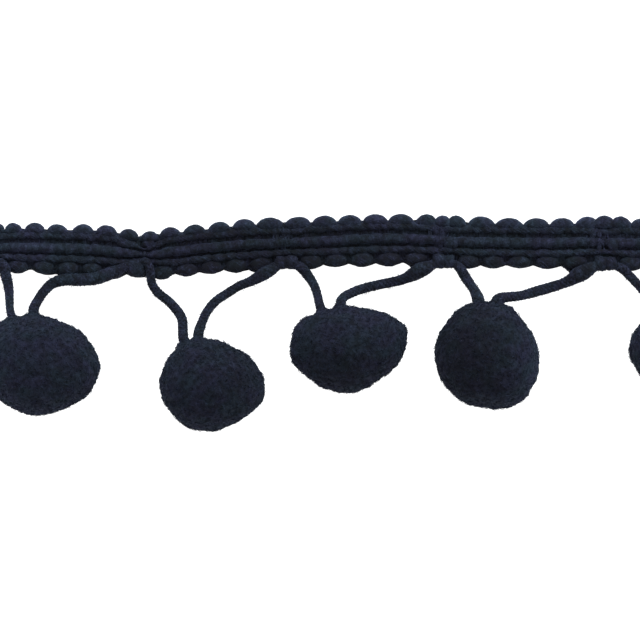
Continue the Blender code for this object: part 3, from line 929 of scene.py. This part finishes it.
def stray_fibres(anchors, outwards, count, seed, reach, thickness):
    """Loose fibres that stand off a yarn, each from one of the anchors, leaning outwards and curling."""
    rng = np.random.default_rng(seed)
    lines = []
    for pick in rng.integers(0, len(anchors), count):
        way = outwards[pick] + rng.normal(0, 0.55, 3)
        way[2] = abs(way[2]) * 0.6
        way /= np.linalg.norm(way)
        curl = rng.normal(0, 0.7, 3)
        t = np.linspace(0, 1, 4)[:, None]
        length = reach * (0.45 + 0.75 * rng.random())
        place = anchors[pick] + length * (way * t + curl * t**2 * 0.4)
        place[:, 2] = np.maximum(place[:, 2], 0.08)
        lines.append(np.column_stack([place, thickness * (1 - 0.6 * t[:, 0])]))
    return lines


def tape():
    """The woven ground of the braid: a narrow sheet under its rows."""
    bm = bmesh.new()
    bmesh.ops.create_grid(bm, x_segments=TAPE_STEPS[0], y_segments=TAPE_STEPS[1], size=0.5)
    bm.verts.ensure_lookup_table()
    places = np.array([vertex.co for vertex in bm.verts])
    x = places[:, 0] * CUT_LENGTH
    share = places[:, 1] + 0.5
    lower = tape_edge_at("lower", x)
    upper = tape_edge_at("upper", x)
    across = (lower + (upper - lower) * share) * (1 - TAPE_DRAWN * rows_in(x))
    heights = TAPE_TOP - TAPE_TURN * np.abs(2 * share - 1) ** 6
    for vertex, *place in zip(bm.verts, x, middle_at(x) + across, heights):
        vertex.co = Vector(place) * MM
    mesh = bpy.data.meshes.new("tape")
    bm.to_mesh(mesh)
    bm.free()
    mesh.shade_smooth()
    made = linked("tape", mesh)
    solid = made.modifiers.new("thickness", "SOLIDIFY")
    solid.thickness = TAPE_THICKNESS * MM
    solid.offset = -1.0
    return mesh_of(made)


def cord_frame(route):
    """The cord's route in short steps: points, thickness, and two directions square to it at each."""
    points = np.array([row[:3] for row in route])
    travelled = travelled_along(points)
    count = round(travelled[-1] / CORD_STEP) + 1
    line = curve_through(travelled, route, np.linspace(0.0, travelled[-1], count))
    tangents = np.gradient(line[:, :3], axis=0)
    tangents /= np.linalg.norm(tangents, axis=1)[:, None]
    first = np.cross(tangents, (0.0, 0.0, 1.0))
    first /= np.linalg.norm(first, axis=1)[:, None]
    second = np.cross(tangents, first)
    return line, first, second


def reach_on(route, start_ball, end_ball):
    """The route with its ends carried on towards the middles of the balls that it is tied to."""
    rows = [list(row) for row in route]
    for ball, at, before in ((start_ball, 0, 1), (end_ball, -1, -2)):
        if ball:
            low, high = (Vector(corner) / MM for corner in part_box(ball))
            place = Vector(rows[at][:3])
            way = (place - Vector(rows[before][:3])).normalized()
            way += 2 * ((low + high) / 2 - place).normalized()
            extra = [*(place + way.normalized() * CORD_INTO_BALL), rows[at][3]]
            rows = [extra, *rows] if at == 0 else [*rows, extra]
    return rows


def cord_mesh(number, route):
    """A braided cord: its core, and the plies that wind both ways round it with short stray fibres."""
    rng = np.random.default_rng(50 + number)
    start_ball = BALLS[number - 1] if number > 0 else None
    end_ball = BALLS[number] if number < len(BALLS) else None
    route = reach_on(route, start_ball, end_ball)
    line, first, second = cord_frame(route)
    along = travelled_along(line[:, :3])
    slack = np.clip((line[:, 3] - 2.0) / 0.5, 0, 1)  # where its plies lie loose, and close over each other
    core = np.column_stack([line[:, :3], line[:, 3] - CORE_INSET + 0.36 * slack])
    core = strands_mesh([core], CORE_SIDES, rng)
    lines = []
    for ply in range(2 * PLIES):
        way = 1 if ply % 2 else -1
        waver = 0.12 * np.sin(along * (0.9 + 0.5 * rng.random()) + rng.random() * 6)
        turn = way * 2 * pi * along / PLY_TURN + 2 * pi * ply / (2 * PLIES) + waver
        weave = PLY_WEAVE * np.sin(2 * pi * PLIES * along / PLY_TURN + pi * ply)
        for side in (-1, 1):
            angle = turn + side * way * PLY_PAIR
            out = line[:, 3] / 2 - PLY / 2 + weave + 0.05 * (rng.random(len(line)) - 0.5)
            aside = first * (out * np.cos(angle))[:, None]
            upright = second * (out * np.sin(angle))[:, None]
            thick = PLY * (0.85 + 0.3 * rng.random(len(line))) * np.maximum(line[:, 3] / 1.95, 1)
            lines.append(np.column_stack([line[:, :3] + aside + upright, thick]))
    around = rng.random(len(line)) * 2 * pi
    outwards = first * np.cos(around)[:, None] + second * np.sin(around)[:, None]
    anchors = line[:, :3] + outwards * (line[:, 3:4] / 2 - 0.1)
    count = round(along[-1] * CORD_STRAYS)
    lines += stray_fibres(anchors, outwards, count, seed=70 + number, reach=0.6, thickness=0.08)
    return core, strands_mesh(lines, STRAND_SIDES, rng)


def fibre_shapes():
    """A few short curled fibres, each a three-sided spike, with its tip marked for the finish, which paints
    light on the tips.
    """
    shapes = bpy.data.collections.new("fibres")
    for number, bend in enumerate((0.25, 0.7, 1.2)):
        bm = bmesh.new()
        bmesh.ops.create_circle(bm, cap_ends=True, segments=3, radius=FIBRE_THICKNESS / 2 * MM)
        end = bm.faces[:][0]
        rings = [(0.0, vertex) for vertex in bm.verts]
        for share in (0.5, 1.0):
            drawn = bmesh.ops.extrude_face_region(bm, geom=[end])
            bmesh.ops.delete(bm, geom=[end], context="FACES_ONLY")
            end = next(part for part in drawn["geom"] if isinstance(part, bmesh.types.BMFace))
            lean = bend * share
            middle = Vector((sin(lean) * share * 0.8, 0.0, cos(lean) * share)) * FIBRE_LENGTH * MM
            slim = 1 - 0.72 * share
            for vertex, angle in zip(end.verts, (0, 2 * pi / 3, 4 * pi / 3)):
                vertex.co = middle + Vector((cos(angle), sin(angle), 0.0)) * FIBRE_THICKNESS / 2 * MM * slim
                rings.append((share, vertex))
        mesh = bpy.data.meshes.new("fibre")
        bm.verts.index_update()
        tips = {vertex.index: share for share, vertex in rings}
        bm.to_mesh(mesh)
        bm.free()
        mark(mesh, "tip", [tips[i] for i in sorted(tips)])
        mesh.shade_smooth()
        shapes.objects.link(bpy.data.objects.new(f"fibre_{number}", mesh))
    return shapes


def pile_nodes(name, shapes, seed):
    """The nodes that make a ball's pile: a lumpy pitted ground, with short fibres all over it."""
    tree = bpy.data.node_groups.new(name, "GeometryNodeTree")
    for way in ("INPUT", "OUTPUT"):
        tree.interface.new_socket("Geometry", in_out=way, socket_type="NodeSocketGeometry")

    def spread(low, high, seed):
        limits = {2: low, 3: high, "Seed": seed}
        return add(tree, "FunctionNodeRandomValue", {"data_type": "FLOAT"}, limits, 1)

    given = add(tree, "NodeGroupInput")
    place = add(tree, "GeometryNodeInputPosition")
    normal = add(tree, "GeometryNodeInputNormal")
    dents = grain(tree, place, 220.0, 1.0)
    lumps = grain(tree, place, 620.0, 2.0)
    fine = grain(tree, place, 1700.0, 2.0)
    rise = (dents - 0.5) * 0.9 + (lumps - 0.5) * 0.6 + (fine - 0.5) * 0.5 - PILE_INSET
    step = add(tree, "ShaderNodeVectorMath", {"operation": "SCALE"}, {0: normal, "Scale": rise * MM})
    ground = add(tree, "GeometryNodeSetPosition", {}, {"Geometry": given, "Offset": step})
    ground = add(tree, "GeometryNodeSetShadeSmooth", {}, {0: ground})
    spacing = {
        "Mesh": ground,
        "Distance Min": PILE_SPACING * MM,
        "Density Max": PILE_DENSITY / MM**2,
        "Seed": seed,
    }
    settings = {"distribute_method": "POISSON"}
    points = add(tree, "GeometryNodeDistributePointsOnFaces", settings, spacing, "Points")
    turned = add(tree, "ShaderNodeCombineXYZ", {}, {"X": spread(1.15, 1.57, 2), "Z": spread(0.0, 2 * pi, 1)})
    tilt = add(tree, "FunctionNodeEulerToRotation", {}, {0: turned})
    local = {"rotation_space": "LOCAL"}
    facing = add(tree, "FunctionNodeRotateRotation", local, {0: points.output("Rotation"), 1: tilt})
    apart = {"Collection": shapes, "Separate Children": True, "Reset Children": True}
    numbers = {4: 0, 5: len(shapes.objects) - 1, "Seed": 4}
    laying = {
        "Points": points,
        "Instance": add(tree, "GeometryNodeCollectionInfo", {}, apart),
        "Pick Instance": True,
        "Instance Index": add(tree, "FunctionNodeRandomValue", {"data_type": "INT"}, numbers, 2),
        "Rotation": facing,
        "Scale": spread(0.55, 1.1, 3),
    }
    laid = add(tree, "GeometryNodeInstanceOnPoints", {}, laying)
    each = {"data_type": "FLOAT", "domain": "INSTANCE"}
    tone = {"Geometry": laid, "Name": "shade", "Value": spread(0.0, 1.0, 5)}
    laid = add(tree, "GeometryNodeStoreNamedAttribute", each, tone)
    real = add(tree, "GeometryNodeRealizeInstances", {}, {0: laid})
    joined = add(tree, "GeometryNodeJoinGeometry", {}, {0: ground})
    real.into(joined.socket.node.inputs[0])
    x = add(tree, "ShaderNodeSeparateXYZ", {}, {0: place}, "X")
    height = x.output("Z").math("MAXIMUM", LEAST_HEIGHT * MM)
    level = add(tree, "ShaderNodeCombineXYZ", {}, {"X": x, "Y": x.output("Y"), "Z": height})
    pressed = add(tree, "GeometryNodeSetPosition", {}, {"Geometry": joined, "Position": level})
    pressed.into(tree.nodes.new("NodeGroupOutput").inputs[0])
    return tree


def cord_ends(node):
    """The cord ends that go into one ball, each as its end point and the direction into the ball."""
    low, high = (np.array(corner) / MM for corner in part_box(node))
    ends = []
    for _, route in CORD_ROUTES:
        for at, before in ((0, 1), (-1, -2)):
            place = np.array(route[at][:3])
            if np.all(place > low - 2.0) and np.all(place < high + 2.0):
                way = place - np.array(route[before][:3])
                ends.append((place, way / np.linalg.norm(way)))
    return ends


def drawn_out(places, middle, way):
    """How far a cord draws the pile out against its way into the ball, for each place on the ball."""
    from_middle = places - middle
    depth = from_middle @ way
    beside = np.linalg.norm(from_middle - depth[:, None] * way, axis=1)
    near_side = np.clip((5.0 - depth) / 2.0, 0, 1)
    return -way * (NECK_HEIGHT * np.exp(-((beside / NECK_REACH) ** 2)) * near_side)[:, None]


def unevenness(places, node):
    """How far each place on a ball is out from an even ball."""
    centre = places.mean(axis=0)
    steps = np.zeros(places.shape)
    for along, across, out, reach in UNEVEN[node]:
        place = np.array([along, across, centre[2]])
        way = (place - centre) / np.linalg.norm(place - centre)
        share = np.exp(-((np.linalg.norm(places - place, axis=1) / reach) ** 2))
        steps += way * (out * share)[:, None]
    return steps


def ball_mesh(number, node, shapes):
    """A yarn ball: its solid's own form, with pile that flares where the cord goes in."""
    bm = bmesh.new()
    bm.from_mesh(frame["nodes"][node].data)
    bmesh.ops.remove_doubles(bm, verts=bm.verts, dist=0.001 * MM)
    mesh = bpy.data.meshes.new(node)
    bm.to_mesh(mesh)
    bm.free()
    shown = linked("ball", mesh)
    shown.modifiers.new("smooth", "SUBSURF").levels = 2
    shown.modifiers["smooth"].render_levels = 2
    mesh = mesh_of(shown)
    places = np.array([vertex.co for vertex in mesh.vertices]) / MM
    ends = cord_ends(node)
    for owner, *place in SHOULDERS:
        if owner == node:
            way = places.mean(axis=0) - place
            ends.append((np.array(place), way / np.linalg.norm(way)))
    steps = np.array([drawn_out(places, place, way) for place, way in ends])
    furthest = np.linalg.norm(steps, axis=2).argmax(axis=0)
    places += steps[furthest, np.arange(len(places))] + unevenness(places, node)
    mesh.vertices.foreach_set("co", (places * MM).ravel())
    made = linked("ball", mesh)
    pile = made.modifiers.new("pile", "NODES")
    pile.node_group = pile_nodes(f"{node}_pile", shapes, 80 + number)
    return mesh_of(made)


def heading(yarns):
    rows = [
        finished(name, mesh, yarns[yarn], "heading")
        for name, mesh, yarn in (
            ("heading_upper_beads", beads("upper"), "bead_yarn"),
            ("heading_lower_beads", beads("lower"), "shaded_low_yarn"),
            ("heading_knot_lumps", knot_lumps(), "shaded_yarn"),
            ("heading_upper_chain", braid_row("upper"), "shaded_yarn"),
            ("heading_lower_chain", braid_row("lower"), "shaded_yarn"),
            ("heading_ridge", braid_row("ridge"), "row_yarn"),
            ("heading_weft", weft(), "shaded_yarn"),
            ("heading_knots", stitches(), "row_yarn"),
            ("heading_fuzz", heading_fuzz(), "row_yarn"),
        )
    ]
    ground = finished("heading_ground", tape(), yarns["shaded_ground_yarn"], "heading")


def cords(yarn):
    for number, (name, route) in enumerate(CORD_ROUTES):
        core, plies = cord_mesh(number, route)
        finished(f"{name}_core", core, yarn, name)
        finished(f"{name}_braid", plies, yarn, name)


def balls():
    material = felt("pompom_felt")
    shapes = fibre_shapes()
    for number, node in enumerate(BALLS):
        finished(f"{node}_pile", ball_mesh(number, node, shapes), material, node)
    for shape in list(shapes.objects):
        bpy.data.objects.remove(shape)
    bpy.data.collections.remove(shapes)


def surface():
    """The white surface that the trim lies on. It glows a little, so that it shows as plain white."""
    bm = bmesh.new()
    bmesh.ops.create_grid(bm, x_segments=1, y_segments=1, size=SURFACE)
    mesh = bpy.data.meshes.new("surface")
    bm.to_mesh(mesh)
    bm.free()
    material, shader = new_material("white_surface")
    set_inputs(shader, {
        "Base Color": colour((0.5, 0.5, 0.5)),
        "Roughness": 0.9,
        "Emission Color": colour(WHITE),
        "Emission Strength": 1.0,
    })
    mesh.materials.append(material)
    linked("surface", mesh)


def light():
    world = bpy.data.worlds.new("studio")
    world.use_nodes = True
    background = world.node_tree.nodes["Background"]
    background.inputs["Color"].default_value = colour(WHITE)
    background.inputs["Strength"].default_value = SKY_STRENGTH
    bpy.context.scene.world = world
    for name, at, towards, (length, width), energy in SOFT_BOXES:
        lamp = bpy.data.lights.new(name, "AREA")
        lamp.shape = "RECTANGLE"
        lamp.size = length
        lamp.size_y = width
        lamp.color = LAMP_COLOUR
        lamp.energy = energy
        placed = linked(name, lamp)
        placed.location = at
        placed.rotation_euler = (Vector(towards) - Vector(at)).to_track_quat("-Z", "Y").to_euler()


def camera():
    data = bpy.data.cameras.new("camera")
    data.lens = LENS
    data.sensor_width = SENSOR
    data.clip_end = 20.0
    placed = linked("camera", data)
    away = LENS * VIEW_WIDTH / SENSOR
    placed.location = Vector((*VIEW_MIDDLE, VIEW_PLANE + away)) * MM
    bpy.context.scene.camera = placed
    bpy.context.scene.view_settings.view_transform = "Standard"


camera()
light()
surface()
yarns = {name: dyed_yarn(name) for name in YARNS}
heading(yarns)
cords(yarns["cord_yarn"])
balls()
